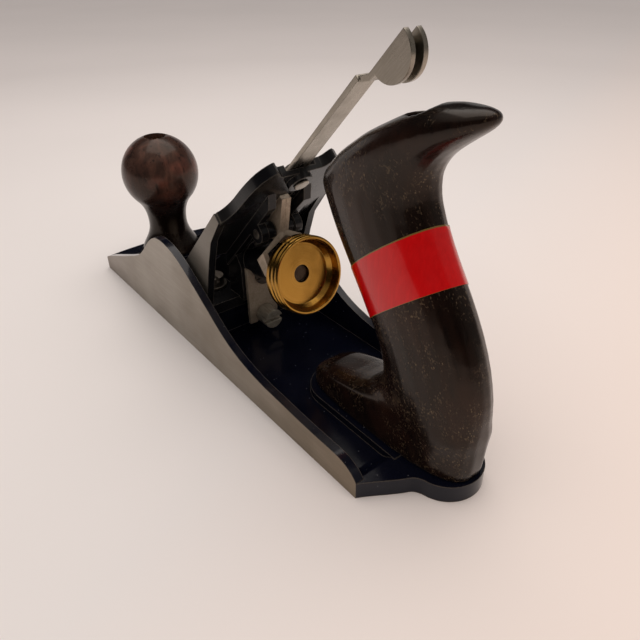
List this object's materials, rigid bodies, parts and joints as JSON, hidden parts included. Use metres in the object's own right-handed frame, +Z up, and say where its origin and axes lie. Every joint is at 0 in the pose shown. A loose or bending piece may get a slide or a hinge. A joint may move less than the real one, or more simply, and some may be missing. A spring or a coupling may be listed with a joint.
{
  "type": "smoothing plane",
  "caption": "Cast-iron smoothing plane without its iron: walled bed, sliding frog with depth and lateral adjusters, turned front knob and curved rear tote with a red tape band.",
  "frame": {"origin": "on the sole, at the middle of its length and width", "axes": "+X along the sole towards the toe, +Y to the plane's left seen from behind, +Z up from the sole"},
  "size_m": [0.245, 0.064, 0.1397],
  "materials": {
    "bed_iron": "black-blue enamel inside, ground bare on the walls and sole",
    "frog_enamel": "gloss black enamel, bare on the flanks",
    "screw_steel": "worn steel",
    "pressed_steel": "tan, lightly oxidised sheet steel",
    "brass": "polished",
    "nickel": "satin nickel plate",
    "dark_hardwood": "nearly black varnish worn to reddish brown",
    "red_tape": "glossy red vinyl with thin gold edge lines"
  },
  "bodies": {
    "bed": {"body": "bed_iron", "frog_screws": "screw_steel", "frog_screw_washers": "screw_steel", "knob": "dark_hardwood", "knob_rod": "screw_steel", "knob_nut": "brass", "tote": "dark_hardwood", "tote_tape": "red_tape", "tote_rod": "screw_steel", "tote_nut": "brass"},
    "frog_assembly": {"frog": "frog_enamel", "frog_clip": "pressed_steel", "frog_clip_screw": "screw_steel", "adjusting_stud": "screw_steel", "yoke_pin": "screw_steel", "lateral_rivet": "nickel"},
    "frog_feed_screw": {"frog_adjusting_screw": "screw_steel"},
    "nut": {"adjusting_nut": "brass"},
    "yoke": {"yoke_left": "pressed_steel", "yoke_right": "pressed_steel", "yoke_rivet": "pressed_steel"},
    "lateral": {"lateral_lever": "nickel", "roller_pin": "nickel"},
    "roller": {"lateral_roller": "nickel"},
    "cap_screw": {"lever_cap_screw": "screw_steel"}
  },
  "joints": [
    {"name": "frog_slide", "type": "slide", "parent": "bed", "child": "frog_assembly", "axis": [1, 0, 0], "range_m": [-0.0025, 0.0025]},
    {"name": "frog_feed_screw_turn", "type": "hinge", "parent": "frog_assembly", "child": "frog_feed_screw", "pos_m": [0.0035, 0, 0.0125], "axis": [1, 0, 0], "range_deg": [-850, 850]},
    {"name": "adjusting_nut_travel", "type": "slide", "parent": "frog_assembly", "child": "nut", "axis": [-0.9744, 0, 0.225], "range_m": [-0.0035, 0.0035]},
    {"name": "yoke_pivot", "type": "hinge", "parent": "frog_assembly", "child": "yoke", "pos_m": [-0.01102, 0, 0.06003], "axis": [0, 1, 0], "range_deg": [-11.5, 11.5]},
    {"name": "lateral_swing", "type": "hinge", "parent": "frog_assembly", "child": "lateral", "pos_m": [-0.02403, 0, 0.08803], "axis": [0.7071, 0, 0.7071], "range_deg": [-9, 9]},
    {"name": "roller_spin", "type": "hinge", "parent": "lateral", "child": "roller", "pos_m": [-0.01838, 0, 0.08238], "axis": [0.7071, 0, 0.7071], "continuous": true},
    {"name": "lever_cap_screw_turn", "type": "hinge", "parent": "frog_assembly", "child": "cap_screw", "pos_m": [0.00885, 0, 0.05515], "axis": [0.7071, 0, 0.7071], "range_deg": [-360, 360]}
  ],
  "couplings": [
    {"joint": "frog_feed_screw_turn", "follows": "frog_slide", "rad_per_m": 5927.7},
    {"joint": "yoke_pivot", "follows": "adjusting_nut_travel", "rad_per_m": 56.3}
  ]
}
